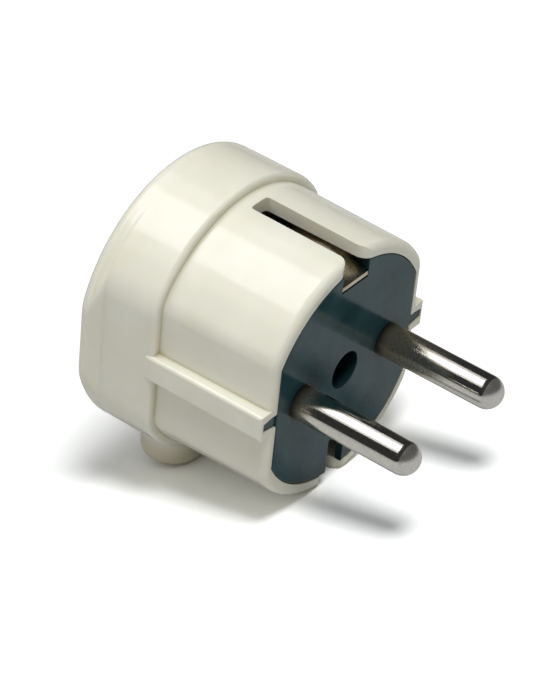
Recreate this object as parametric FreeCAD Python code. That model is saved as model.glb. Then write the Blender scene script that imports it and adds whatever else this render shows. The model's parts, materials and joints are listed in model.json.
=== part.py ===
"""Rewirable type F plug with a round collar and a side cable outlet.

The pieces are drawn in the plug's own axes: X runs through both pins, Y runs
from the face of the plug towards its rear, Z points up, and the origin is the
middle of the face. Each finished solid is then laid down as the plug rests on
a table, on the rim of its nose and on its cable outlet. All sizes are in mm.
"""
import FreeCAD, Part
import math
import os

from FreeCAD import Vector

# Contact pins
PIN_D = 4.8
PIN_LENGTH = 19.0
PIN_PITCH = 19.0
PIN_FIT = 0.05
PIN_ROOT_STEP = 0.2
PIN_SHOULDER_STEP = 0.7
PIN_SHOULDER_LENGTH = 2.0
PIN_HEAD_WIDTH = 7.2
PIN_HEAD_LENGTH = 7.0
PIN_HEAD_CHAMFER = 0.5
WIRE_BORE_D = 3.2
WIRE_BORE_DEPTH = 6.0

# Contact carrier, built round the pins
CARRIER_SIDE_MARGIN = 3.0
CARRIER_ROUND_RISE = 2.1
CARRIER_CORNER_R = 0.5
CARRIER_FIT = 0.08
PLATE_THICKNESS = 3.2
PLATE_EDGE_R = 0.25
CORE_ROOT = 1.6
CORE_SETBACK = 1.6
CORE_SIDE_WALL = 0.4
CORE_CORNER_GAP = 0.2
CORE_EDGE_R = 1.0
CHAMBER_FIT = 0.1
STRAP_PAD_WIDTH = 7.2
LOWER_PAD_LEAD = 2.0
NOTCH_FIT = 0.05
NOTCH_FLOOR_GAP = 0.3
LOWER_NOTCH_DEPTH = 5.8
LOWER_NOTCH_LIP = 1.0
LOWER_RELIEF_WIDTH = 9.2
TAB_REACH = 1.2
TAB_ROOT_HEIGHT = 2.0
TAB_TIP_HEIGHT = 1.2
TAB_START = 0.3
TAB_LENGTH = 2.0
TAB_FIT = 0.1

# Housing, front body
BODY_LENGTH = 18.6
BODY_SIDE_WALL = 1.32
BODY_ROUND_WALL = 1.87
BODY_DRAFT = 0.32
BODY_FLAT_BLEND = 4.0
FRONT_EDGE_R = 1.0

# Housing, collar
COLLAR_STEP = 1.65
COLLAR_FLAT_STEP = 1.65
COLLAR_FLAT_BLEND = 7.0
COLLAR_RIM_CUT = 0.8
COLLAR_RIM_BLEND = 7.0
COLLAR_RIM_LAND = 0.1
COLLAR_RAMP_LENGTH = 1.4
COLLAR_FRONT_EDGE_R = 0.6
COLLAR_REAR_EDGE_R = 1.6
REAR_WALL = 1.9

# Housing, guide ribs and slots for the earth springs of a socket
RIB_WIDTH = 4.0
RIB_HEIGHT = 1.85
RIB_START = 0.1
RIB_EDGE_R = 0.5
SLOT_WIDTH = 3.6
SLOT_END_WALL = 2.1
SLOT_END_R = 0.5
SLOT_LIP_R = 1.8

# Housing, cable outlet
OUTLET_SETBACK = 5.4
OUTLET_REAR_MARGIN = 1.7
OUTLET_DROP = 3.9
OUTLET_END_R = 4.6
OUTLET_HALF_SPAN = 4.4
OUTLET_LIP_R = 1.4
OUTLET_ROOT = 8.5
CABLE_BORE_D = 6.6
CABLE_BORE_LIP_R = 0.5

# Earth strap: its lower leg is the shorter one
STRAP_WIDTH = 5.6
STRAP_THICKNESS = 0.6
STRAP_UPPER_FRONT = 0.05
STRAP_LOWER_FRONT = 4.2
STRAP_UPPER_TIP_DEPTH = 2.7
STRAP_LOWER_TIP_DEPTH = 1.6
STRAP_BOW_DEPTH = 1.0
STRAP_SEAT_DEPTH = 2.8
STRAP_SEAT_LENGTH = 2.6
STRAP_BEND_R = 0.6
STRAP_BEND_GAP = 0.1

# Pin retainer
RETAINER_SIDE_STEP = 0.2
RETAINER_HALF_HEIGHT = 7.8
RETAINER_THICKNESS = 2.6
RETAINER_CORNER_R = 2.0
RETAINER_WIRE_HOLE_D = 3.8
RETAINER_GROOVE_FIT = 0.1

# Screws: every head has a straight slot
SCREW_SLOT_WIDTH = 0.8
SCREW_SLOT_DEPTH = 1.0
SCREW_CLEARANCE = 0.2
ASSEMBLY_SCREW_D = 3.5
ASSEMBLY_HEAD_D = 5.3
ASSEMBLY_HEAD_HEIGHT = 2.2
ASSEMBLY_SEAT_THICKNESS = 5.0
ASSEMBLY_TIP_GAP = 1.1
FACE_HOLE_FIT = 0.15
INSERT_WALL = 1.05
INSERT_LENGTH = 6.5
POST_WALL = 1.9
PIN_SCREW_D = 3.0
PIN_SCREW_HEAD_D = 5.0
PIN_SCREW_HEAD_HEIGHT = 2.0
PIN_SCREW_FROM_END = 3.2
PIN_SCREW_TIP_Z = 0.5
EARTH_SCREW_D = 3.5
EARTH_SCREW_HEAD_D = 5.4
EARTH_SCREW_HEAD_HEIGHT = 2.0
EARTH_SCREW_LENGTH = 5.2
CLAMP_SCREW_D = 3.0
CLAMP_SCREW_HEAD_D = 5.0
CLAMP_SCREW_HEAD_HEIGHT = 2.0
CLAMP_SCREW_LENGTH = 6.6

# Earth clamp plate
EARTH_PLATE_WIDTH = 5.6
EARTH_PLATE_INSET = 0.2
EARTH_PLATE_THICKNESS = 0.8
EARTH_SCREW_GAP = 0.4

# Cord clamp
CLAMP_WALL_GAP = 5.2
CLAMP_BAR_OVERHANG = 2.1
CLAMP_BAR_LAND = 0.7
CLAMP_BAR_THICKNESS = 1.8
CLAMP_BAR_END_R = 0.9
CLAMP_SADDLE_DEPTH = 0.7
CLAMP_BOSS_D = 5.0
CLAMP_BOSS_LEAD = 2.0
CLAMP_BOSS_GAP = 0.1

# Margin by which a cutting tool runs past the face that it opens
OVERRUN = 1.0

# Distance within which two places count as one
NEAR = 1e-4

# How finely the resting pose is worked out: facets in mm, and steps of the tilt in radians
REST_TOLERANCE = 0.02
REST_STEP = 1e-6

# Across the plug: pins, carrier, housing and collar, from the inside out
PIN_X = PIN_PITCH / 2
PIN_ROOT_D = PIN_D + 2 * PIN_ROOT_STEP
PIN_SHOULDER_D = PIN_ROOT_D + 2 * PIN_SHOULDER_STEP
FACE_HOLE_D = ASSEMBLY_HEAD_D + 2 * FACE_HOLE_FIT
INSERT_D = ASSEMBLY_SCREW_D + 2 * INSERT_WALL
POST_D = INSERT_D + 2 * POST_WALL
CARRIER_FLAT = PIN_X + PIN_D / 2 + CARRIER_SIDE_MARGIN
CARRIER_R = CARRIER_FLAT + CARRIER_ROUND_RISE
CORE_HALF_WIDTH = PIN_X + PIN_HEAD_WIDTH / 2 + CHAMBER_FIT + CORE_SIDE_WALL
CORE_HALF_HEIGHT = math.sqrt(CARRIER_R ** 2 - CORE_HALF_WIDTH ** 2) - CORE_CORNER_GAP
CAVITY_FLAT = CARRIER_FLAT + CARRIER_FIT
CAVITY_R = CARRIER_R + CARRIER_FIT
BODY_FLAT = CAVITY_FLAT + BODY_SIDE_WALL
BODY_R = CAVITY_R + BODY_ROUND_WALL
COLLAR_FLAT = BODY_FLAT + COLLAR_FLAT_STEP
COLLAR_R = BODY_R + COLLAR_STEP
COLLAR_RIM_FLAT = COLLAR_R - COLLAR_RIM_CUT
RIB_OUT = BODY_FLAT + RIB_HEIGHT
TAB_OUT = BODY_FLAT + TAB_REACH
OUTLET_END = COLLAR_R + OUTLET_DROP

# Along the plug: everything behind the nose follows its length
CORE_END = BODY_LENGTH - CORE_SETBACK
CHAMBER_FLOOR_Y = CORE_END - PIN_HEAD_LENGTH
PIN_SHOULDER_Y = CHAMBER_FLOOR_Y - PIN_SHOULDER_LENGTH
PIN_SCREW_Y = CORE_END - PIN_SCREW_FROM_END
ASSEMBLY_SEAT_Y = CORE_END - ASSEMBLY_SEAT_THICKNESS
SLOT_END = BODY_LENGTH - SLOT_END_WALL
WEB_REAR = CORE_END + STRAP_THICKNESS
RETAINER_REAR = CORE_END + RETAINER_THICKNESS
OUTLET_Y = BODY_LENGTH + OUTLET_SETBACK
COLLAR_REAR = OUTLET_Y + OUTLET_END_R + OUTLET_REAR_MARGIN
CAVITY_END = COLLAR_REAR - REAR_WALL
INSERT_END = RETAINER_REAR + INSERT_LENGTH
ASSEMBLY_SCREW_LENGTH = INSERT_END - ASSEMBLY_TIP_GAP - ASSEMBLY_SEAT_Y

# Earth strap and cord clamp, from the wall that they lie against
STRAP_UPPER_TIP_Z = CARRIER_R - STRAP_UPPER_TIP_DEPTH
STRAP_LOWER_TIP_Z = CARRIER_R - STRAP_LOWER_TIP_DEPTH
STRAP_BOW_Z = CARRIER_R - STRAP_BOW_DEPTH
STRAP_SEAT_Z = CARRIER_R - STRAP_SEAT_DEPTH
STRAP_SEAT_Y = CORE_END - STRAP_SEAT_LENGTH
EARTH_SCREW_Z = RETAINER_HALF_HEIGHT + EARTH_SCREW_GAP + EARTH_SCREW_HEAD_D / 2
EARTH_PLATE_HEIGHT = EARTH_SCREW_HEAD_D - 2 * EARTH_PLATE_INSET
CLAMP_X = (CABLE_BORE_D + CLAMP_BOSS_D) / 2 + CLAMP_BOSS_GAP
CLAMP_Z = CLAMP_WALL_GAP - CARRIER_R
CLAMP_BAR_HALF_LENGTH = CLAMP_X + CLAMP_BAR_OVERHANG
CLAMP_BAR_HEIGHT = CLAMP_SCREW_D + SCREW_CLEARANCE + 2 * CLAMP_BAR_LAND
CLAMP_BOSS_FRONT = OUTLET_Y - CLAMP_BOSS_LEAD
CLAMP_BAR_FRONT = CLAMP_BOSS_FRONT - CLAMP_BAR_THICKNESS


def cylinder_y(diameter, start, end, x=0.0, z=0.0):
    """Round rod parallel to the plug's axis, from Y = start to Y = end."""
    return Part.makeCylinder(diameter / 2, end - start, Vector(x, start, z), Vector(0, 1, 0))


def cylinder_z(diameter, low, high, x, y):
    """Round rod parallel to Z."""
    return Part.makeCylinder(diameter / 2, high - low, Vector(x, y, low), Vector(0, 0, 1))


def block(x_low, x_high, y_low, y_high, z_low, z_high):
    """Rectangular block between two opposite corners."""
    corner = Vector(x_low, y_low, z_low)
    return Part.makeBox(x_high - x_low, y_high - y_low, z_high - z_low, corner)


def prism(points, direction):
    """Straight-sided prism on a closed outline of points."""
    outline = Part.makePolygon([Vector(*p) for p in points] + [Vector(*points[0])])
    return Part.Face(outline).extrude(Vector(*direction))


def edges_where(shape, test):
    """Edges whose every end point and middle pass the test."""
    chosen = []
    for edge in shape.Edges:
        first, last = edge.FirstParameter, edge.LastParameter
        samples = [edge.valueAt(first), edge.valueAt((first + last) / 2), edge.valueAt(last)]
        if all(test(point) for point in samples):
            chosen.append(edge)
    return chosen


def near(value, target):
    return abs(value - target) < NEAR


def vertical(edge):
    """Whether an edge runs parallel to Z."""
    first, last = edge.Vertexes[0].Point, edge.Vertexes[-1].Point
    return near(first.x, last.x) and near(first.y, last.y) and not near(first.z, last.z)


def flatted_circle(radius, half_flat, blend, y):
    """Circle with a flat on each side, the corners blended by an arc, as a wire at Y = y."""
    centre_x = half_flat - blend
    centre_z = math.sqrt((radius - blend) ** 2 - centre_x ** 2)
    scale = radius / (radius - blend)
    on_circle = Vector(centre_x * scale, y, centre_z * scale)
    on_flat = Vector(half_flat, y, centre_z)
    turn = math.atan2(centre_z, centre_x) / 2
    on_blend = Vector(centre_x + blend * math.cos(turn), y, centre_z + blend * math.sin(turn))

    def flip(point, sx, sz):
        return Vector(point.x * sx, point.y, point.z * sz)

    top = Vector(0, y, radius)
    bottom = Vector(0, y, -radius)
    edges = [
        Part.Arc(flip(on_circle, -1, 1), top, on_circle),
        Part.Arc(on_circle, on_blend, on_flat),
        Part.LineSegment(on_flat, flip(on_flat, 1, -1)),
        Part.Arc(flip(on_flat, 1, -1), flip(on_blend, 1, -1), flip(on_circle, 1, -1)),
        Part.Arc(flip(on_circle, 1, -1), bottom, flip(on_circle, -1, -1)),
        Part.Arc(flip(on_circle, -1, -1), flip(on_blend, -1, -1), flip(on_flat, -1, -1)),
        Part.LineSegment(flip(on_flat, -1, -1), flip(on_flat, -1, 1)),
        Part.Arc(flip(on_flat, -1, 1), flip(on_blend, -1, 1), flip(on_circle, -1, 1)),
    ]
    return Part.Wire([edge.toShape() for edge in edges])


def flatted_drum(radius, half_flat, blend, start, end, growth=0.0):
    """Drum with two side flats, which grows by a draft from start to end."""
    front = flatted_circle(radius, half_flat, blend, start)
    rear = flatted_circle(radius + growth, half_flat + growth, blend, end)
    return Part.makeLoft([front, rear], True, True)


def screw(diameter, length, head_d, head_height, base, direction, slot_along):
    """Slotted cheese-head screw: base is the middle of the face under its head."""
    shank = Part.makeCylinder(diameter / 2, length, base, direction)
    head = Part.makeCylinder(head_d / 2, head_height, base, direction * -1)
    body = shank.fuse(head).removeSplitter()
    floor = base - direction * (head_height - SCREW_SLOT_DEPTH)
    side = direction.cross(slot_along)
    corner = floor - slot_along * head_d - side * (SCREW_SLOT_WIDTH / 2)
    points = [
        corner,
        corner + slot_along * (2 * head_d),
        corner + slot_along * (2 * head_d) + side * SCREW_SLOT_WIDTH,
        corner + side * SCREW_SLOT_WIDTH,
        corner,
    ]
    slot = Part.Face(Part.makePolygon(points)).extrude(direction * -(SCREW_SLOT_DEPTH + OVERRUN))
    return body.cut(slot)


def slot_tool(side):
    """Cutter for one earth-spring slot: rounded rear corners, and lips that flare at the face."""
    half = SLOT_WIDTH / 2
    z_start = side * (CAVITY_R - 2 * OVERRUN)
    z_run = side * (BODY_R + 2 * OVERRUN) - z_start
    flare = half + SLOT_LIP_R
    lip_bulge = SLOT_LIP_R * (1 - math.sqrt(0.5))
    end_bulge = SLOT_END_R * (1 - math.sqrt(0.5))
    end = SLOT_END

    def at(x, y):
        return Vector(x, y, z_start)

    def half_outline(s):
        return [
            Part.Arc(at(s * flare, 0), at(s * (half + lip_bulge), lip_bulge), at(s * half, SLOT_LIP_R)),
            Part.LineSegment(at(s * half, SLOT_LIP_R), at(s * half, end - SLOT_END_R)),
            Part.Arc(at(s * half, end - SLOT_END_R), at(s * (half - end_bulge), end - end_bulge),
                     at(s * (half - SLOT_END_R), end)),
            Part.LineSegment(at(s * flare, 0), at(s * flare, -OVERRUN)),
        ]

    outline = half_outline(1) + half_outline(-1)
    outline.append(Part.LineSegment(at(SLOT_END_R - half, end), at(half - SLOT_END_R, end)))
    outline.append(Part.LineSegment(at(-flare, -OVERRUN), at(flare, -OVERRUN)))
    wire = Part.Wire(Part.sortEdges([edge.toShape() for edge in outline])[0])
    return Part.Face(wire).extrude(Vector(0, 0, z_run))


def front_body():
    """Drafted nose with a rounded rim, and its two slots, whose outer edges stay crisp."""
    body = flatted_drum(BODY_R, BODY_FLAT, BODY_FLAT_BLEND, 0, BODY_LENGTH, BODY_DRAFT)
    body = body.makeFillet(FRONT_EDGE_R, edges_where(body, lambda p: near(p.y, 0)))
    return body.cut([slot_tool(1), slot_tool(-1)])


def collar():
    """Rear collar with a recessed flat on each side that ends in a ramp before the rear rim."""
    rim_start = COLLAR_REAR - COLLAR_REAR_EDGE_R - COLLAR_RIM_LAND
    flat_end = rim_start - COLLAR_RAMP_LENGTH
    drum = Part.makeLoft([
        flatted_circle(COLLAR_R, COLLAR_FLAT, COLLAR_FLAT_BLEND, BODY_LENGTH),
        flatted_circle(COLLAR_R, COLLAR_FLAT, COLLAR_FLAT_BLEND, flat_end),
        flatted_circle(COLLAR_R, COLLAR_RIM_FLAT, COLLAR_RIM_BLEND, rim_start),
        flatted_circle(COLLAR_R, COLLAR_RIM_FLAT, COLLAR_RIM_BLEND, COLLAR_REAR),
    ], True, True)
    drum = drum.makeFillet(COLLAR_REAR_EDGE_R, edges_where(drum, lambda p: near(p.y, COLLAR_REAR)))
    return drum.makeFillet(COLLAR_FRONT_EDGE_R, edges_where(drum, lambda p: near(p.y, BODY_LENGTH)))


def guide_ribs():
    """Two ribs, one on each side flat, drawn as one bar whose middle the cavity removes."""
    half, rear = RIB_WIDTH / 2, BODY_LENGTH + OVERRUN
    bar = block(-RIB_OUT, RIB_OUT, RIB_START, rear, -half, half)
    outer = edges_where(bar, lambda p: near(abs(p.x), RIB_OUT) and p.y < rear)
    along = edges_where(bar, lambda p: near(abs(p.x), RIB_OUT) and near(abs(p.z), half))
    front = [edge for edge in outer if all(near(v.Y, RIB_START) for v in edge.Vertexes)]
    return bar.makeFillet(RIB_EDGE_R, along + front)


def outlet_boss():
    """Broad outlet under the collar: two round ends, joined by flat walls, with a rounded lip."""
    low, high = -OUTLET_END, OUTLET_ROOT - CAVITY_R
    left = cylinder_z(2 * OUTLET_END_R, low, high, -OUTLET_HALF_SPAN, OUTLET_Y)
    right = cylinder_z(2 * OUTLET_END_R, low, high, OUTLET_HALF_SPAN, OUTLET_Y)
    middle = block(-OUTLET_HALF_SPAN, OUTLET_HALF_SPAN, OUTLET_Y - OUTLET_END_R,
                   OUTLET_Y + OUTLET_END_R, low, high)
    boss = middle.fuse([left, right]).removeSplitter()
    return boss.makeFillet(OUTLET_LIP_R, edges_where(boss, lambda p: near(p.z, low)))


def cable_bore():
    """Round way for the cable through the outlet, with a rounded mouth."""
    low = -OUTLET_END
    bore = cylinder_z(CABLE_BORE_D, low - OVERRUN, OUTLET_ROOT - CAVITY_R, 0, OUTLET_Y)
    mouth_r = CABLE_BORE_D / 2 + CABLE_BORE_LIP_R
    mouth = Part.makeCylinder(mouth_r, CABLE_BORE_LIP_R, Vector(0, OUTLET_Y, low))
    ring = Part.makeTorus(mouth_r, CABLE_BORE_LIP_R, Vector(0, OUTLET_Y, low + CABLE_BORE_LIP_R))
    return bore.fuse(mouth.cut(ring))


def cavity():
    """Hollow of the housing: room for the carrier, less the posts that stand on the rear wall."""
    room = flatted_drum(CAVITY_R, CAVITY_FLAT, CARRIER_CORNER_R, -OVERRUN, CAVITY_END)
    posts = [cylinder_y(POST_D, RETAINER_REAR, CAVITY_END + OVERRUN)]
    for side in (-1, 1):
        posts.append(cylinder_y(CLAMP_BOSS_D, CLAMP_BOSS_FRONT, CAVITY_END + OVERRUN,
                                side * CLAMP_X, CLAMP_Z))
    return room.cut(posts)


def fastener_holes():
    """Pocket of the threaded insert, and the holes of the two clamp screws."""
    holes = [cylinder_y(INSERT_D, RETAINER_REAR - OVERRUN, INSERT_END)]
    for side in (-1, 1):
        holes.append(cylinder_y(CLAMP_SCREW_D, CLAMP_BOSS_FRONT - OVERRUN,
                                CLAMP_BAR_FRONT + CLAMP_SCREW_LENGTH, side * CLAMP_X, CLAMP_Z))
    return holes


def locating_tabs(fit=0.0):
    """Tapered tab on each side of the carrier, or with a fit the notches that take the tabs."""
    root, tip, out = TAB_ROOT_HEIGHT / 2 + fit, TAB_TIP_HEIGHT / 2 + fit, TAB_OUT + fit
    front = -OVERRUN if fit else TAB_START
    outline = [(-out, front, -tip), (-CARRIER_FLAT, front, -root), (CARRIER_FLAT, front, -root),
               (out, front, -tip), (out, front, tip), (CARRIER_FLAT, front, root),
               (-CARRIER_FLAT, front, root), (-out, front, tip)]
    return prism(outline, (0, TAB_LENGTH + fit - front, 0))


def housing():
    """Moulded shell of the plug, open at the face."""
    shell = front_body().fuse([collar(), guide_ribs(), outlet_boss()]).removeSplitter()
    shell = shell.cut(cavity())
    return shell.cut([cable_bore(), locating_tabs(TAB_FIT)] + fastener_holes())


def pin_room(x):
    """Way for a pin through the carrier, and the chamber behind it that its head sits in."""
    way = cylinder_y(PIN_ROOT_D + 2 * PIN_FIT, -OVERRUN, CORE_END, x)
    shoulder = cylinder_y(PIN_SHOULDER_D + 2 * PIN_FIT, PIN_SHOULDER_Y, CORE_END, x)
    half = PIN_HEAD_WIDTH / 2 + CHAMBER_FIT
    chamber = block(x - half, x + half, CHAMBER_FLOOR_Y, CORE_END + OVERRUN, -half,
                    CORE_HALF_HEIGHT + OVERRUN)
    return way.fuse([shoulder, chamber])


def strap_pad(front, side):
    """Land on the core that carries one leg of the strap, rounded where the strap bends."""
    low, high = sorted((0, side * STRAP_SEAT_Z))
    pad = block(-STRAP_PAD_WIDTH / 2, STRAP_PAD_WIDTH / 2, front, CORE_END, low, high)
    bend = edges_where(pad, lambda p: near(p.y, CORE_END) and near(abs(p.z), STRAP_SEAT_Z))
    return pad.makeFillet(STRAP_BEND_R + STRAP_BEND_GAP, bend)


def strap_notches():
    """Ways for the strap: one it fills at the top, and below a narrow one in a thinned plate."""
    half = STRAP_WIDTH / 2 + NOTCH_FIT
    far = CARRIER_R + OVERRUN
    lower_floor = CARRIER_R - LOWER_NOTCH_DEPTH
    relief = LOWER_RELIEF_WIDTH / 2
    return [
        block(-half, half, -OVERRUN, CORE_END, STRAP_UPPER_TIP_Z - NOTCH_FLOOR_GAP, far),
        block(-SLOT_WIDTH / 2, SLOT_WIDTH / 2, -OVERRUN, PLATE_THICKNESS, -far, -lower_floor),
        block(-relief, relief, LOWER_NOTCH_LIP, PLATE_THICKNESS + OVERRUN, -far, -lower_floor),
    ]


def contact_carrier():
    """Insert that holds the pins and the earth strap, with its face at the front of the plug."""
    plate = flatted_drum(CARRIER_R, CARRIER_FLAT, CARRIER_CORNER_R, 0, PLATE_THICKNESS)
    plate = plate.makeFillet(PLATE_EDGE_R, edges_where(plate, lambda p: near(p.y, 0)))
    root = PLATE_THICKNESS - CORE_ROOT
    core = block(-CORE_HALF_WIDTH, CORE_HALF_WIDTH, root, CORE_END,
                 -CORE_HALF_HEIGHT, CORE_HALF_HEIGHT)
    lengthwise = edges_where(core, lambda p: near(abs(p.x), CORE_HALF_WIDTH)
                             and near(abs(p.z), CORE_HALF_HEIGHT))
    core = core.makeFillet(CORE_EDGE_R, lengthwise)
    pads = [strap_pad(root, 1), strap_pad(STRAP_SEAT_Y - LOWER_PAD_LEAD, -1)]
    body = plate.fuse([core, locating_tabs()] + pads).removeSplitter()
    tools = [pin_room(-PIN_X), pin_room(PIN_X)] + strap_notches()
    tools.append(cylinder_y(FACE_HOLE_D, -OVERRUN, ASSEMBLY_SEAT_Y))
    tools.append(cylinder_y(ASSEMBLY_SCREW_D + 2 * SCREW_CLEARANCE, 0, CORE_END + OVERRUN))
    tools.append(cylinder_y(EARTH_SCREW_D + 2 * SCREW_CLEARANCE, WEB_REAR - EARTH_SCREW_LENGTH,
                            CORE_END + OVERRUN, 0, EARTH_SCREW_Z))
    return body.cut(tools)


def pin(side):
    """Solid contact pin with a round tip, a stepped root and a pillar head for the wire."""
    x = side * PIN_X
    tip_r = PIN_D / 2
    shaft = cylinder_y(PIN_D, tip_r - PIN_LENGTH, PIN_SHOULDER_Y, x)
    tip = Part.makeSphere(tip_r, Vector(x, tip_r - PIN_LENGTH, 0))
    root = cylinder_y(PIN_ROOT_D, 0, CHAMBER_FLOOR_Y, x)
    shoulder = cylinder_y(PIN_SHOULDER_D, PIN_SHOULDER_Y, CHAMBER_FLOOR_Y, x)
    half = PIN_HEAD_WIDTH / 2
    head = block(x - half, x + half, CHAMBER_FLOOR_Y, CORE_END, -half, half)
    corners = edges_where(head, lambda p: near(abs(p.x - x), half) and near(abs(p.z), half))
    head = head.makeChamfer(PIN_HEAD_CHAMFER, corners)
    body = shaft.fuse([tip, root, shoulder, head]).removeSplitter()
    wire_bore = cylinder_y(WIRE_BORE_D, CORE_END - WIRE_BORE_DEPTH, CORE_END + OVERRUN, x)
    thread = cylinder_z(PIN_SCREW_D, 0, half + OVERRUN, x, PIN_SCREW_Y)
    return body.cut([wire_bore, thread])


def pin_screw(side):
    """Screw that clamps the wire in a pin's head."""
    top = PIN_HEAD_WIDTH / 2
    base = Vector(side * PIN_X, PIN_SCREW_Y, top)
    return screw(PIN_SCREW_D, top - PIN_SCREW_TIP_Z, PIN_SCREW_HEAD_D, PIN_SCREW_HEAD_HEIGHT,
                 base, Vector(0, 0, -1), Vector(1, 0, 0))


def strap_leg(side, front, tip_z):
    """Edges of one leg of the strap, seen from the side: outer line, tip and inner line."""
    t = STRAP_THICKNESS
    bend_end = WEB_REAR - STRAP_BEND_R - t
    web_top = STRAP_SEAT_Z - STRAP_BEND_R
    bow_y = (front + STRAP_SEAT_Y) / 2

    def at(y, z):
        return Vector(-STRAP_WIDTH / 2, y, side * z)

    def line_along(rise):
        bend_r = STRAP_BEND_R + rise
        corner = bend_r * math.sqrt(0.5)
        seat_z = STRAP_SEAT_Z + rise
        return [
            Part.Arc(at(front, tip_z + rise), at(bow_y, STRAP_BOW_Z + rise), at(STRAP_SEAT_Y, seat_z)),
            Part.LineSegment(at(STRAP_SEAT_Y, seat_z), at(bend_end, seat_z)),
            Part.Arc(at(bend_end, seat_z), at(bend_end + corner, web_top + corner),
                     at(bend_end + bend_r, web_top)),
        ]

    tip = Part.LineSegment(at(front, tip_z), at(front, tip_z + t))
    return line_along(0.0) + line_along(t) + [tip]


def earth_strap():
    """Bent strip behind the carrier, whose two sprung legs lie under the slots."""
    web_top = STRAP_SEAT_Z - STRAP_BEND_R
    outline = strap_leg(1, STRAP_UPPER_FRONT, STRAP_UPPER_TIP_Z)
    outline += strap_leg(-1, STRAP_LOWER_FRONT, STRAP_LOWER_TIP_Z)
    for y in (CORE_END, WEB_REAR):
        ends = [Vector(-STRAP_WIDTH / 2, y, side * web_top) for side in (1, -1)]
        outline.append(Part.LineSegment(*ends))
    wire = Part.Wire(Part.sortEdges([edge.toShape() for edge in outline])[0])
    strip = Part.Face(wire).extrude(Vector(STRAP_WIDTH, 0, 0))
    front, rear = CORE_END - OVERRUN, WEB_REAR + OVERRUN
    screw_way = cylinder_y(ASSEMBLY_SCREW_D + 2 * SCREW_CLEARANCE, front, rear)
    thread = cylinder_y(EARTH_SCREW_D, front, rear, 0, EARTH_SCREW_Z)
    return strip.cut([screw_way, thread])


def earth_clamp_plate():
    """Square washer that holds the earth wire down on the strap."""
    rear = WEB_REAR + EARTH_PLATE_THICKNESS
    plate = block(-EARTH_PLATE_WIDTH / 2, EARTH_PLATE_WIDTH / 2, WEB_REAR, rear,
                  EARTH_SCREW_Z - EARTH_PLATE_HEIGHT / 2, EARTH_SCREW_Z + EARTH_PLATE_HEIGHT / 2)
    hole_d = EARTH_SCREW_D + SCREW_CLEARANCE
    return plate.cut(cylinder_y(hole_d, WEB_REAR - OVERRUN, rear + OVERRUN, 0, EARTH_SCREW_Z))


def earth_screw():
    """Screw of the earth terminal, threaded into the strap."""
    base = Vector(0, WEB_REAR + EARTH_PLATE_THICKNESS, EARTH_SCREW_Z)
    length = EARTH_SCREW_LENGTH + EARTH_PLATE_THICKNESS - SCREW_CLEARANCE
    return screw(EARTH_SCREW_D, length, EARTH_SCREW_HEAD_D, EARTH_SCREW_HEAD_HEIGHT,
                 base, Vector(0, -1, 0), Vector(1, 0, 0))


def pin_retainer():
    """Plate behind the carrier that keeps the pins from being pushed back."""
    w, h = CORE_HALF_WIDTH - RETAINER_SIDE_STEP, RETAINER_HALF_HEIGHT
    plate = block(-w, w, CORE_END, RETAINER_REAR, -h, h)
    corners = edges_where(plate, lambda p: near(abs(p.x), w) and near(abs(p.z), h))
    plate = plate.makeFillet(RETAINER_CORNER_R, corners)
    groove_half = STRAP_WIDTH / 2 + RETAINER_GROOVE_FIT
    tools = [block(-groove_half, groove_half, CORE_END - OVERRUN, WEB_REAR, -h - OVERRUN, h + OVERRUN)]
    for x in (-PIN_X, PIN_X):
        tools.append(cylinder_y(RETAINER_WIRE_HOLE_D, CORE_END - OVERRUN, RETAINER_REAR + OVERRUN, x))
    screw_way = ASSEMBLY_SCREW_D + 2 * SCREW_CLEARANCE
    tools.append(cylinder_y(screw_way, CORE_END - OVERRUN, RETAINER_REAR + OVERRUN))
    return plate.cut(tools)


def assembly_screw():
    """Long screw in the face hole that draws the carrier into the housing."""
    base = Vector(0, ASSEMBLY_SEAT_Y, 0)
    slot_along = Vector(math.sqrt(0.5), 0, math.sqrt(0.5))
    return screw(ASSEMBLY_SCREW_D, ASSEMBLY_SCREW_LENGTH, ASSEMBLY_HEAD_D, ASSEMBLY_HEAD_HEIGHT,
                 base, Vector(0, 1, 0), slot_along)


def threaded_insert():
    """Metal bush in the housing's post that takes the assembly screw."""
    bush = cylinder_y(INSERT_D, RETAINER_REAR, INSERT_END)
    return bush.cut(cylinder_y(ASSEMBLY_SCREW_D, RETAINER_REAR - OVERRUN, INSERT_END + OVERRUN))


def cord_clamp_bar():
    """Bar across the cable inside the outlet, hollowed where it bears on the cable."""
    low, high = CLAMP_Z - CLAMP_BAR_HEIGHT / 2, CLAMP_Z + CLAMP_BAR_HEIGHT / 2
    bar = block(-CLAMP_BAR_HALF_LENGTH, CLAMP_BAR_HALF_LENGTH, CLAMP_BAR_FRONT, CLAMP_BOSS_FRONT,
                low, high)
    ends = edges_where(bar, lambda p: near(abs(p.x), CLAMP_BAR_HALF_LENGTH)
                       and (near(p.z, low) or near(p.z, high)))
    bar = bar.makeFillet(CLAMP_BAR_END_R, ends)
    half_chord = CABLE_BORE_D / 2
    saddle_r = (half_chord ** 2 + CLAMP_SADDLE_DEPTH ** 2) / (2 * CLAMP_SADDLE_DEPTH)
    saddle_y = CLAMP_BOSS_FRONT - CLAMP_SADDLE_DEPTH + saddle_r
    tools = [cylinder_z(2 * saddle_r, low - OVERRUN, high + OVERRUN, 0, saddle_y)]
    for side in (-1, 1):
        tools.append(cylinder_y(CLAMP_SCREW_D + SCREW_CLEARANCE, CLAMP_BAR_FRONT - OVERRUN,
                                CLAMP_BOSS_FRONT + OVERRUN, side * CLAMP_X, CLAMP_Z))
    return bar.cut(tools)


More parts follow.
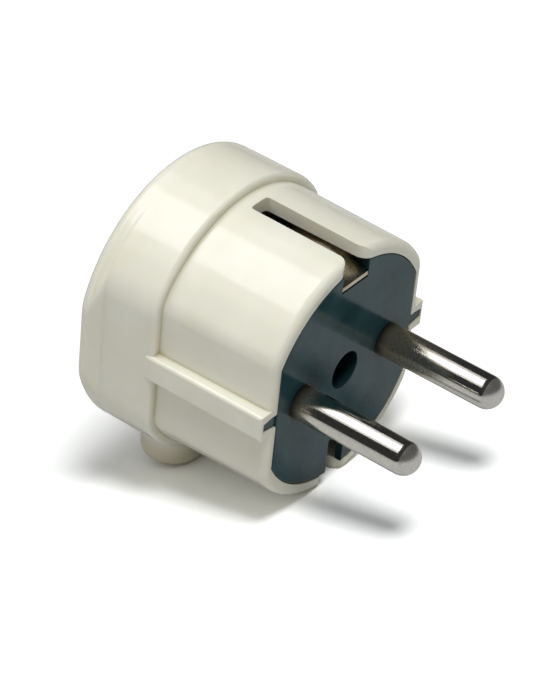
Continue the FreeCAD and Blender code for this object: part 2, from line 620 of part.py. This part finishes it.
def clamp_screw(side):
    """Screw that pulls the clamp bar down on the cable."""
    base = Vector(side * CLAMP_X, CLAMP_BAR_FRONT, CLAMP_Z)
    return screw(CLAMP_SCREW_D, CLAMP_SCREW_LENGTH, CLAMP_SCREW_HEAD_D, CLAMP_SCREW_HEAD_HEIGHT,
                 base, Vector(0, 1, 0), Vector(1, 0, 0))


def resting_tilt(shell):
    """Nose-down angle, in degrees, at which the shell's nose and its outlet both touch a table."""
    below = [point for point in shell.tessellate(REST_TOLERANCE)[0] if point.z < 0]
    nose = [point for point in below if point.y < BODY_LENGTH]
    outlet = [point for point in below if point.y > BODY_LENGTH]

    def depth(points, tilt):
        return max(-point.y * math.sin(tilt) - point.z * math.cos(tilt) for point in points)

    low, high = 0.0, math.pi / 4
    while high - low > REST_STEP:
        middle = (low + high) / 2
        if depth(nose, middle) < depth(outlet, middle):
            low = middle
        else:
            high = middle
    return math.degrees(low)


def lay_down(pieces):
    """Tilt every piece to the resting pose, then stand the whole plug on the origin."""
    tilt = resting_tilt(pieces["housing"])
    for shape in pieces.values():
        shape.rotate(Vector(0, 0, 0), Vector(1, 0, 0), tilt)
    box = Part.makeCompound(list(pieces.values())).optimalBoundingBox()
    shift = Vector(0, -(box.YMin + box.YMax) / 2, -box.ZMin)
    for shape in pieces.values():
        shape.translate(shift)
    print("resting tilt", round(tilt, 3), "shift", shift)
    return pieces


def build():
    pieces = {
        "housing": housing(),
        "contact_carrier": contact_carrier(),
        "earth_strap": earth_strap(),
        "earth_clamp_plate": earth_clamp_plate(),
        "earth_screw": earth_screw(),
        "pin_retainer": pin_retainer(),
        "assembly_screw": assembly_screw(),
        "threaded_insert": threaded_insert(),
        "cord_clamp_bar": cord_clamp_bar(),
    }
    for name, side in (("left", -1), ("right", 1)):
        pieces["pin_" + name] = pin(side)
        pieces["pin_screw_" + name] = pin_screw(side)
        pieces["clamp_screw_" + name] = clamp_screw(side)
    return lay_down(pieces)


os.makedirs("parts", exist_ok=True)
for name, shape in build().items():
    shape.exportStep("parts/" + name + ".step")
    print(name, "solids", len(shape.Solids), "valid", shape.isValid(), "volume", round(shape.Volume, 1))
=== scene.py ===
# %% [markdown]
# # A mains plug in ivory plastic, dressed for a studio picture
#
# The solids of this plug already stand at their real size and place. This lesson gives them
# their looks: glossy ivory plastic, a dark blue-grey contact carrier, two nickel-plated pins,
# and the soft light of a product picture. Every length is in metres, so a size that a
# maker would give in millimetres is written as a number times MM. The one exception is a name
# that ends in _MM, as in the recipes for materials: it holds plain millimetres.

import json
import math

import bpy
from mathutils import Matrix, Vector

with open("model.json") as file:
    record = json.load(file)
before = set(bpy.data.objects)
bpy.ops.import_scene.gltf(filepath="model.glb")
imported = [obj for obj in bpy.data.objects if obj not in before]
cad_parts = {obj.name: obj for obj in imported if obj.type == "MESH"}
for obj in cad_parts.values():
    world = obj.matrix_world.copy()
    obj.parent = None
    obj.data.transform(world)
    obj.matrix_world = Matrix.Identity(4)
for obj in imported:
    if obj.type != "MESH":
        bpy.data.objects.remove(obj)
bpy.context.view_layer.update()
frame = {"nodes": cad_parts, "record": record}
nodes = frame["nodes"]
MM = 0.001
print("solids:", sorted(nodes))

# %% [markdown]
# ## The plug's own axes
#
# The plug lies on a table with its nose down, so nothing on it is level. It is far easier to
# place a camera or a tarnished patch in the plug's own axes: X through both pins, Y from the
# face to the rear, and Z up towards one earth slot. The record's mounts hold what is needed. Both
# pins give their middle and the way they point, and from those the whole set of axes follows.

# %% Work out the plug's axes from its pins
mounts = {mount["name"]: mount for mount in frame["record"]["mounts"]}
pin_left, pin_right = mounts["pin_left"], mounts["pin_right"]
PIN_MIDDLE_TO_FACE = 8.6 * MM

plug_x = (Vector(pin_right["pos_m"]) - Vector(pin_left["pos_m"])).normalized()
plug_y = -Vector(pin_left["axis"]).normalized()
plug_z = plug_x.cross(plug_y)
pins_middle = (Vector(pin_left["pos_m"]) + Vector(pin_right["pos_m"])) / 2
face_centre = pins_middle + plug_y * PIN_MIDDLE_TO_FACE
plug_to_row = Matrix((plug_x, plug_y, plug_z)).transposed().to_4x4()
plug_to_row.translation = face_centre
print("resting tilt in degrees:", round(math.degrees(math.asin(plug_y.z)), 2))

# %% [markdown]
# ## The camera
#
# The photograph was taken with a long lens, from the left of the pins and a little above
# them. A long lens keeps parallel edges nearly parallel, which is what gives product pictures
# their calm look. The camera is described as a photographer would set it up: the direction
# it looks in, how far the plug's face is, where the face sits beside the lens's axis, and
# how much the camera is rolled.

# %% Set up the camera
LENS_MM = 167.07
SENSOR_MM = 36.0
FACE_DISTANCE = 433.2 * MM
FACE_RIGHT_OF_AXIS = 9.96 * MM
FACE_BELOW_AXIS = 2.64 * MM
LOOK_AZIMUTH = math.radians(55.88)
LOOK_DOWN = math.radians(37.30)
CAMERA_ROLL = math.radians(6.02)

look = Vector((
    math.sin(LOOK_AZIMUTH) * math.cos(LOOK_DOWN),
    math.cos(LOOK_AZIMUTH) * math.cos(LOOK_DOWN),
    -math.sin(LOOK_DOWN),
))
level_right = look.cross(Vector((0, 0, 1))).normalized()
level_up = level_right.cross(look)
right = level_right * math.cos(CAMERA_ROLL) + level_up * math.sin(CAMERA_ROLL)
up = right.cross(look)
camera_spot = -look * FACE_DISTANCE - right * FACE_RIGHT_OF_AXIS + up * FACE_BELOW_AXIS
camera_matrix = Matrix((right, up, -look)).transposed().to_4x4()
camera_matrix.translation = camera_spot

camera_data = bpy.data.cameras.new("studio_camera")
camera_data.sensor_fit = "AUTO"
camera_data.sensor_width = SENSOR_MM
camera_data.lens = LENS_MM
camera = bpy.data.objects.new("studio_camera", camera_data)
bpy.context.scene.collection.objects.link(camera)
camera.matrix_world = plug_to_row @ camera_matrix
bpy.context.scene.camera = camera
print("camera stands at", [round(v, 3) for v in camera.matrix_world.translation])

# %% [markdown]
# ## Small tools for materials
#
# A shader node tree is a recipe, and most steps of it repeat: add a node, set its values, and
# join it to the one before. A few short helpers keep the recipes below readable.

# %% Helpers for node trees
def new_material(name):
    """An empty node material, with its tree and a Principled shader joined to the output."""
    material = bpy.data.materials.new(name)
    material.use_nodes = True
    tree = material.node_tree
    tree.nodes.clear()
    output = tree.nodes.new("ShaderNodeOutputMaterial")
    shader = tree.nodes.new("ShaderNodeBsdfPrincipled")
    tree.links.new(shader.outputs["BSDF"], output.inputs["Surface"])
    return material, tree, shader


def add(tree, kind, links=(), **values):
    """A node with its settings and socket values, fed by links of (socket, source output)."""
    node = tree.nodes.new(kind)
    for key, value in values.items():
        if key in node.inputs:
            node.inputs[key].default_value = value
        else:
            setattr(node, key, value)
    for socket, source in links:
        tree.links.new(source, node.inputs[socket])
    return node


def ramp(tree, source, stops):
    """A colour ramp from a list of (place, colour) stops."""
    node = add(tree, "ShaderNodeValToRGB", [("Fac", source)])
    elements = node.color_ramp.elements
    while len(elements) < len(stops):
        elements.new(0.5)
    for element, (place, colour) in zip(elements, stops):
        element.position = place
        element.color = (*colour, 1)
    return node.outputs["Color"]


def plug_space(tree):
    """Places in the plug's own axes and in millimetres, worked out from the row's metres."""
    to_plug = plug_to_row.inverted()
    coordinates = add(tree, "ShaderNodeTexCoord")
    turned = add(tree, "ShaderNodeMapping", [("Vector", coordinates.outputs["Object"])],
                 Location=to_plug.translation, Rotation=to_plug.to_euler())
    return add(tree, "ShaderNodeMapping", [("Vector", turned.outputs["Vector"])],
               Scale=(1 / MM, 1 / MM, 1 / MM)).outputs["Vector"]


def noise(tree, place, grain_mm, detail=3.0, stretch=(1, 1, 1)):
    """Noise whose grains are about grain_mm wide, drawn out along an axis if wanted."""
    mapping = add(tree, "ShaderNodeMapping", [("Vector", place)], Scale=[1 / s for s in stretch])
    return add(tree, "ShaderNodeTexNoise", [("Vector", mapping.outputs["Vector"])],
               Scale=1 / grain_mm, Detail=detail).outputs["Fac"]


def ranged(tree, source, low, high, from_low=0.0, from_high=1.0):
    """A value moved from one range to another, and held inside it."""
    node = add(tree, "ShaderNodeMapRange", [("Value", source)])
    for socket, value in (("From Min", from_low), ("From Max", from_high),
                          ("To Min", low), ("To Max", high)):
        node.inputs[socket].default_value = value
    return node.outputs["Result"]


def maths(tree, operation, first, second):
    """One step of arithmetic; each side is a node's output or a plain number."""
    node = tree.nodes.new("ShaderNodeMath")
    node.operation = operation
    for socket, side in zip(node.inputs, (first, second)):
        if isinstance(side, (int, float)):
            socket.default_value = side
        else:
            tree.links.new(side, socket)
    return node.outputs[0]


def mixed(tree, share, first, second):
    """Two colours mixed by a share; each is a node's output or a plain colour."""
    node = add(tree, "ShaderNodeMix", data_type="RGBA")
    tree.links.new(share, node.inputs["Factor"])
    colour_sockets = [socket for socket in node.inputs if socket.type == "RGBA"]
    for socket, colour in zip(colour_sockets, (first, second)):
        if isinstance(colour, tuple):
            socket.default_value = (*colour, 1)
        else:
            tree.links.new(colour, socket)
    return next(socket for socket in node.outputs if socket.type == "RGBA")


def dented(tree, shader, height, strength, depth_mm):
    """A bump from a height between 0 and 1, with the depth that a height of 1 stands for."""
    bump = add(tree, "ShaderNodeBump", [("Height", height)], Strength=strength, Distance=depth_mm * MM)
    tree.links.new(bump.outputs["Normal"], shader.inputs["Normal"])


# %% [markdown]
# ## Ivory plastic
#
# The housing is pressed from a thermoset plastic, which comes out of a polished mould with a
# hard gloss: the overhead light shows in it as one bright band along the nose and another
# along the collar. Up close it isn't perfectly even. The colour drifts a little between
# cream and grey, and handling has dulled it in soft clouds. Shade is painted into the inner
# corners as a darker olive tint. An Ambient Occlusion node finds those corners, because it
# measures how much of the open air a spot can see. Light also goes a little way into such
# plastic and comes out beside the place where it went in, so the shader has a small share of
# Subsurface, which keeps the ivory from looking like painted metal. Low down on the cable
# outlet, below the collar, shade is painted in as a darker warm tan.

# %% Make the ivory plastic
CREAM, PALE_IVORY = (0.79, 0.775, 0.65), (0.83, 0.82, 0.71)
IVORY_SHINY, IVORY_DULL = 0.09, 0.17
# Painted shade: the darker olive that closed-in inner corners are tinted towards.
OLIVE_CORNER_SHADE = (0.60, 0.565, 0.37)
CORNER_SHADE_REACH = 1.3 * MM
# Painted shade: a darker warm tan low on the cable outlet, gone above the first height in the plug's Z
# and strongest below the second.
OUTLET_SHADE_TAN, OUTLET_SHADE_SHARE = (0.74, 0.68, 0.50), 0.75
OUTLET_SHADE_TOP_MM, OUTLET_SHADE_FULL_MM = -20.0, -22.0
IVORY_SUBSURFACE = 0.25
LIGHT_DEPTH, LIGHT_SPREAD = 1.2 * MM, (1.0, 0.75, 0.40)
AIR_SAMPLES = 8
IVORY_DRIFT_MM, IVORY_CLOUDS_MM, IVORY_DIMPLES_MM = 9.0, 3.2, 2.4


def corners(tree, reach, most, closed, free):
    """A share of painted shade that grows as less open air is seen within a reach: most where it is
    closed in.
    """
    open_air = add(tree, "ShaderNodeAmbientOcclusion", samples=AIR_SAMPLES, Distance=reach)
    return ranged(tree, open_air.outputs["AO"], most, 0.0, closed, free)


def ivory_plastic(name="ivory_plastic"):
    """Glossy ivory with shade painted olive into its corners, and shade painted tan low down at the cable
    outlet.
    """
    material, tree, shader = new_material(name)
    place = plug_space(tree)
    drift = noise(tree, place, IVORY_DRIFT_MM, 4.0)
    plain = ramp(tree, drift, [(0.35, CREAM), (0.65, PALE_IVORY)])
    # Painted shade: inner corners, where little open air is seen, are darkened towards olive.
    corner_shaded = mixed(tree, corners(tree, CORNER_SHADE_REACH, 1.0, 0.35, 0.75), plain, OLIVE_CORNER_SHADE)
    axes = add(tree, "ShaderNodeSeparateXYZ", [("Vector", place)])
    # Painted shade: the outlet's lower end is tinted a darker tan.
    outlet = ranged(tree, axes.outputs["Z"], OUTLET_SHADE_SHARE, 0.0, OUTLET_SHADE_FULL_MM, OUTLET_SHADE_TOP_MM)
    tree.links.new(mixed(tree, outlet, corner_shaded, OUTLET_SHADE_TAN), shader.inputs["Base Color"])
    clouds = noise(tree, place, IVORY_CLOUDS_MM, 5.0)
    tree.links.new(ranged(tree, clouds, IVORY_SHINY, IVORY_DULL, 0.35, 0.7), shader.inputs["Roughness"])
    shader.inputs["Subsurface Weight"].default_value = IVORY_SUBSURFACE
    shader.inputs["Subsurface Radius"].default_value = LIGHT_SPREAD
    shader.inputs["Subsurface Scale"].default_value = LIGHT_DEPTH
    dented(tree, shader, noise(tree, place, IVORY_DIMPLES_MM), 0.30, 0.05)
    return material


# %% [markdown]
# ## Dark carrier plastic
#
# The carrier that holds the pins is a darker moulding in blue-grey with a touch of green. It
# is the glossiest plastic on the plug, and the pins mirror in it. Because it is so dark, most
# of what the eye sees is reflection, so its roughness matters more than its colour. Years of
# plugging in have left a thin grey haze on it, in patches. Shade is painted nearly black into
# the bore that the screwdriver goes through and into the corners round the pins, by the same
# Ambient Occlusion node that paints shade into the ivory's corners.

# %% Make the dark plastic
CARRIER_HAZED, CARRIER_CLEAN = (0.026, 0.072, 0.081), (0.009, 0.040, 0.047)
CARRIER_SHINY, CARRIER_DULL = 0.07, 0.17
CARRIER_GLOSS = 0.28
# Painted shade: the near-black that the bore and the corners round the pins are darkened to.
SHADE_BLACK = (0.003, 0.008, 0.009)
SHADE_REACH = 6.0 * MM
HAZE_MM, CARRIER_DIMPLES_MM = 6.5, 1.6


def dark_plastic(name="dark_plastic", hazed=CARRIER_HAZED, clean=CARRIER_CLEAN):
    """Dark glossy plastic with a patchy haze, and shade painted nearly black into its bore and corners.
    """
    material, tree, shader = new_material(name)
    place = plug_space(tree)
    haze = noise(tree, place, HAZE_MM)
    plain = ramp(tree, haze, [(0.32, clean), (0.70, hazed)])
    # Painted shade: closed-in places go nearly black.
    dark = corners(tree, SHADE_REACH, 0.95, 0.40, 0.85)
    tree.links.new(mixed(tree, dark, plain, SHADE_BLACK), shader.inputs["Base Color"])
    tree.links.new(ranged(tree, haze, CARRIER_SHINY, CARRIER_DULL, 0.3, 0.7), shader.inputs["Roughness"])
    shader.inputs["Specular IOR Level"].default_value = CARRIER_GLOSS
    dented(tree, shader, noise(tree, place, CARRIER_DIMPLES_MM), 0.08, 0.03)
    return material


# %% [markdown]
# ## Plated metal
#
# The strap, the screws and the insert are small parts that nobody polishes. Their colour
# drifts a little, and fine scratches run along the plug, which is the way the strap's strip
# was rolled. One recipe serves them all, with two shades and two roughnesses for each metal.

# %% Make the metals of the strap, the screws and the insert
def plated_metal(name, light, dark, shiny, dull, grain_mm=0.9):
    """Metal whose shade drifts between two colours, with scratches drawn out along Y."""
    material, tree, shader = new_material(name)
    shader.inputs["Metallic"].default_value = 1.0
    place = plug_space(tree)
    drift = noise(tree, place, grain_mm * 4, 4.0)
    tree.links.new(ramp(tree, drift, [(0.35, dark), (0.65, light)]), shader.inputs["Base Color"])
    scratch = noise(tree, place, grain_mm, stretch=(1, 8, 1))
    tree.links.new(ranged(tree, scratch, shiny, dull), shader.inputs["Roughness"])
    dented(tree, shader, scratch, 0.08, 0.02)
    return material


# %% [markdown]
# ## The pins' nickel
#
# The pins are turned brass with a thin coat of nickel, which is warmer than chrome. Sliding
# in and out of sockets has worn its grain, and its tip, which takes the knocks, is dull. The
# lathe's fine turning marks run round each pin: a bump from noise that is drawn out across the
# pin stands for them. Near the face the plating has gone brown, more on the right pin than on
# the left, and shade is painted in dark right at the face. All of this depends on where a spot
# is on the pin, so the recipe reads places in the plug's own axes: Y is the distance from the
# face, and the sign of X tells one pin from the other.

# %% Work out where the pins are brown, shaded at the face or dull
PIN_LENGTH_MM = 19.0
TIP_DULL_MM, TIP_BLEND_MM = 1.9, 0.2
LEFT_BROWN_MM, RIGHT_BROWN_MORE_MM, BROWN_DRIFT_MM = 1.5, 8.5, 4.0
MOST_BROWN, BROWN_CLOUDS_MM = 0.9, 2.2
# Painted shade at each pin's root: full up to the first distance from the face, gone by the second.
ROOT_SHADE_FULL_MM, ROOT_SHADE_END_MM = 0.05, 1.4
MOST_ROOT_SHADE = 0.9


def brown_share(tree, place, x, from_face, grain):
    """How brown the plating is: from the face outwards, further along the right pin."""
    right_pin = ranged(tree, x, 0.0, 1.0, -1.0, 1.0)
    clouds = noise(tree, place, BROWN_CLOUDS_MM, 4.0, stretch=(1, 2, 1))
    reach = maths(tree, "ADD", maths(tree, "MULTIPLY", right_pin, RIGHT_BROWN_MORE_MM), LEFT_BROWN_MM)
    reach = maths(tree, "ADD", reach, maths(tree, "MULTIPLY", clouds, BROWN_DRIFT_MM))
    share = ranged(tree, maths(tree, "DIVIDE", from_face, reach), MOST_BROWN, 0.0, 0.1, 1.0)
    share = maths(tree, "MULTIPLY", share, ranged(tree, grain, 0.70, 1.15, 0.35, 0.65))
    return maths(tree, "MINIMUM", share, 1.0)


def tip_share(tree, from_face):
    """1 on the dull tip and 0 on the rest of the pin."""
    tip_start = PIN_LENGTH_MM - TIP_DULL_MM
    return ranged(tree, from_face, 0.0, 1.0, tip_start, tip_start + TIP_BLEND_MM)


# %% Make the pins' nickel
WARM_NICKEL, BRIGHT_NICKEL = (0.62, 0.60, 0.545), (0.74, 0.73, 0.68)
BROWN_NICKEL = (0.42, 0.345, 0.225)
# Painted shade: the dark colour at each pin's root.
ROOT_SHADE_COLOUR = (0.045, 0.040, 0.032)
NICKEL_SHINY, NICKEL_WORN = 0.09, 0.16
BROWN_ROUGHER, TIP_ROUGHER = 0.28, 0.20
BROWN_DIRT, TIP_DIRT = 0.15, 0.10
GRAIN_MM, TURNING_MM = 0.25, 0.11


def pin_nickel():
    """Nickel that is bright in the middle of a pin, brown near the face and dull at the tip."""
    material, tree, shader = new_material("pin_nickel")
    place = plug_space(tree)
    axes = add(tree, "ShaderNodeSeparateXYZ", [("Vector", place)])
    from_face = maths(tree, "MULTIPLY", axes.outputs["Y"], -1.0)
    grain = noise(tree, place, GRAIN_MM, 4.0)
    brown = brown_share(tree, place, axes.outputs["X"], from_face, grain)
    tip = tip_share(tree, from_face)

    bright = ramp(tree, grain, [(0.35, WARM_NICKEL), (0.65, BRIGHT_NICKEL)])
    # Painted shade: darkens the pin right where it meets the face.
    root_shade = ranged(tree, from_face, MOST_ROOT_SHADE, 0.0, ROOT_SHADE_FULL_MM, ROOT_SHADE_END_MM)
    colour = mixed(tree, root_shade, mixed(tree, brown, bright, BROWN_NICKEL), ROOT_SHADE_COLOUR)
    tree.links.new(colour, shader.inputs["Base Color"])

    rough = ranged(tree, grain, NICKEL_SHINY, NICKEL_WORN, 0.3, 0.7)
    rough = maths(tree, "ADD", rough, maths(tree, "MULTIPLY", brown, BROWN_ROUGHER))
    rough = maths(tree, "ADD", rough, maths(tree, "MULTIPLY", tip, TIP_ROUGHER))
    tree.links.new(rough, shader.inputs["Roughness"])
    dirt = maths(tree, "MAXIMUM", maths(tree, "MULTIPLY", brown, BROWN_DIRT),
                 maths(tree, "MULTIPLY", tip, TIP_DIRT))
    tree.links.new(maths(tree, "SUBTRACT", 1.0, dirt), shader.inputs["Metallic"])
    dented(tree, shader, noise(tree, place, TURNING_MM, stretch=(9, 1, 9)), 0.5, 0.012)
    return material


# %% [markdown]
# ## A finish for every solid
#
# The record says which finish each piece has, by the name of a material slot. So the finishes
# are made once, and each solid takes the one that its slot names. The pieces sealed inside
# the plug get theirs too, because the plug can be opened on a bench.

# %% Give every solid its finish
finishes = {
    "shell": ivory_plastic(),
    "carrier": dark_plastic(),
    "pin_plating": pin_nickel(),
    "strap_plating": plated_metal("strap_nickel", (0.78, 0.72, 0.60), (0.56, 0.49, 0.37), 0.20, 0.34),
    "screw_steel": plated_metal("screw_steel", (0.58, 0.57, 0.54), (0.46, 0.45, 0.42), 0.25, 0.40),
    "insert_brass": plated_metal("insert_brass", (0.72, 0.55, 0.28), (0.60, 0.44, 0.20), 0.25, 0.40),
    "retainer_moulding": dark_plastic("phenolic_plastic", (0.060, 0.044, 0.034), (0.036, 0.026, 0.020)),
    "clamp_moulding": ivory_plastic("clamp_plastic"),
}
slots = {part["node"]: part["material_slot"] for part in frame["record"]["subparts"]}
for name, solid in nodes.items():
    for slot in solid.material_slots:
        slot.material = finishes[slots[name]]
print("finishes:", sorted(finishes))

# %% [markdown]
# ## The floor
#
# The plug lies on a white sheet that the photograph shows as pure white, with the shadows
# left in it. So the sheet is an ordinary matt white for all the light that bounces off it,
# and a second thin coat of white that only the camera sees lifts it to paper white. Both
# coats are lit and shaded alike, so the shadows stay. The coat is a trace cooler than the
# sheet, which evens out the warm light that the ivory throws on it. Far from the plug the
# light on the sheet falls off, and a glow that only the camera sees keeps it white there.

# %% Lay the floor
FLOOR_HALF = 2.0
floor_mesh = bpy.data.meshes.new("floor")
floor_mesh.from_pydata(
    [(-FLOOR_HALF, -FLOOR_HALF, 0), (FLOOR_HALF, -FLOOR_HALF, 0),
     (FLOOR_HALF, FLOOR_HALF, 0), (-FLOOR_HALF, FLOOR_HALF, 0)], [], [(0, 1, 2, 3)])
floor = bpy.data.objects.new("floor", floor_mesh)
bpy.context.scene.collection.objects.link(floor)

# %% Make the white sheet
SHEET_WHITE, SHEET_ROUGHNESS, SHEET_GLOSS = 0.90, 0.9, 0.1
CAMERA_COAT, COAT_COOLNESS = 0.95, 1.03
GLOW_START, GLOW_FULL = 0.15, 0.45
material, tree, shader = new_material("white_sheet")
shader.inputs["Base Color"].default_value = (SHEET_WHITE, SHEET_WHITE, SHEET_WHITE, 1)
shader.inputs["Roughness"].default_value = SHEET_ROUGHNESS
shader.inputs["Specular IOR Level"].default_value = SHEET_GLOSS

seen = add(tree, "ShaderNodeLightPath").outputs["Is Camera Ray"]
coat_share = maths(tree, "MULTIPLY", seen, CAMERA_COAT)
cool_share = maths(tree, "MULTIPLY", coat_share, COAT_COOLNESS)
coat_colour = add(tree, "ShaderNodeCombineColor",
                  [("Red", coat_share), ("Green", cool_share), ("Blue", cool_share)])
coat = add(tree, "ShaderNodeBsdfDiffuse", [("Color", coat_colour.outputs["Color"])])

place = add(tree, "ShaderNodeTexCoord").outputs["Object"]
distance = add(tree, "ShaderNodeVectorMath", [("Vector", place)], operation="LENGTH").outputs["Value"]
far_away = ranged(tree, distance, 0.0, 1.0, GLOW_START, GLOW_FULL)
far_glow = add(tree, "ShaderNodeEmission", [("Strength", maths(tree, "MULTIPLY", far_away, seen))])

output = next(node for node in tree.nodes if node.type == "OUTPUT_MATERIAL")
layers = shader.outputs["BSDF"]
for layer in (coat.outputs["BSDF"], far_glow.outputs["Emission"]):
    both = add(tree, "ShaderNodeAddShader")
    tree.links.new(layers, both.inputs[0])
    tree.links.new(layer, both.inputs[1])
    layers = both.outputs["Shader"]
tree.links.new(layers, output.inputs["Surface"])
floor_mesh.materials.append(material)
print("floor:", 2 * FLOOR_HALF, "m wide, white from", GLOW_FULL, "m out")

# %% [markdown]
# ## The lights
#
# Polished metal mirrors the whole room, so the pins tell how the photograph was lit. Each
# shows one hard white stripe, which is a long soft box hung across the table, just behind
# the pins. The dark bands beside the stripe are an unlit room, and the broad grey one below
# is the white table. On the ivory the box shows brighter in its middle than at its ends, as a
# cloth does in front of a lamp, so it is two lights here, with the lamp a little under the
# cloth. Two more lights only light: were they to mirror in the metal too, the pins would show
# stripes that the real ones don't have. The key stands in front and high up, and its small
# size gives the pins' shadows their soft but distinct edges. The fill, low on the left, opens
# up the side of the collar. The box and the fill are linked to the plug alone, because on the
# sheet they would wash those shadows out.

# %% A helper for soft lights
def soft_light(name, spot, aim, width, depth, glow):
    """A rectangular light that faces aim and shines with a given brightness (white is 1)."""
    data = bpy.data.lights.new(name, "AREA")
    data.shape = "RECTANGLE"
    data.size, data.size_y = width, depth
    data.energy = glow * math.pi * width * depth
    lamp = bpy.data.objects.new(name, data)
    lamp.location = spot
    lamp.rotation_euler = (Vector(aim) - Vector(spot)).to_track_quat("-Z", "Y").to_euler()
    bpy.context.scene.collection.objects.link(lamp)
    return lamp


# %% Hang the box, the fill and the key
plug_only = bpy.data.collections.new("lit_by_the_box")
for solid in nodes.values():
    plug_only.objects.link(solid)

BOX_FRONT, BOX_REAR = 0.04, 0.30
BOX_LAYERS = (("box_cloth", -0.46, 0.24, 0.60, 1.1), ("box_lamp", -0.27, 0.065, 0.59, 2.9))
for name, left, right, height, glow in BOX_LAYERS:
    spot = ((left + right) / 2, (BOX_FRONT + BOX_REAR) / 2, height)
    lamp = soft_light(name, spot, (spot[0], spot[1], 0), right - left, BOX_REAR - BOX_FRONT, glow)
    lamp.light_linking.receiver_collection = plug_only

FILL_SPOT, FILL_AIM = (-0.70, -0.05, 0.40), (0, 0, 0.02)
FILL_WIDTH, FILL_DEPTH, FILL_GLOW = 0.8, 0.5, 0.5
fill_light = soft_light("fill_light", FILL_SPOT, FILL_AIM, FILL_WIDTH, FILL_DEPTH, FILL_GLOW)
fill_light.visible_glossy = False
fill_light.light_linking.receiver_collection = plug_only

KEY_DIRECTION = Vector((-0.20, -0.45, 1.0)).normalized()
KEY_DISTANCE, KEY_SIDE, KEY_GLOW = 0.9, 0.28, 16.6
key_light = soft_light("key_light", KEY_DIRECTION * KEY_DISTANCE, (0, 0, 0), KEY_SIDE, KEY_SIDE, KEY_GLOW)
key_light.visible_glossy = False

# %% [markdown]
# ## The room
#
# The world has three jobs here. To the camera it is plain white, as the background of the
# photograph is. To the plastic it is a weak light from all round, so that no side goes black.
# In the metal it is almost dark, because that's how the real pins mirror the unlit room. Light
# Path tells the kinds of ray apart, and the stronger of the two answers counts.

# %% Dim the world, but keep it white behind the plug
WORLD_FILL, WORLD_MIRRORED = 0.20, 0.035
world = bpy.data.worlds.new("studio")
world.use_nodes = True
bpy.context.scene.world = world
tree = world.node_tree
rays = add(tree, "ShaderNodeLightPath")
dim = ranged(tree, rays.outputs["Is Glossy Ray"], WORLD_FILL, WORLD_MIRRORED)
strength = maths(tree, "MAXIMUM", dim, rays.outputs["Is Camera Ray"])
background = tree.nodes["Background"]
background.inputs["Color"].default_value = (1, 1, 1, 1)
tree.links.new(strength, background.inputs["Strength"])
bpy.context.scene.view_settings.view_transform = "Standard"
print("world fill:", WORLD_FILL, "and mirrored:", WORLD_MIRRORED)
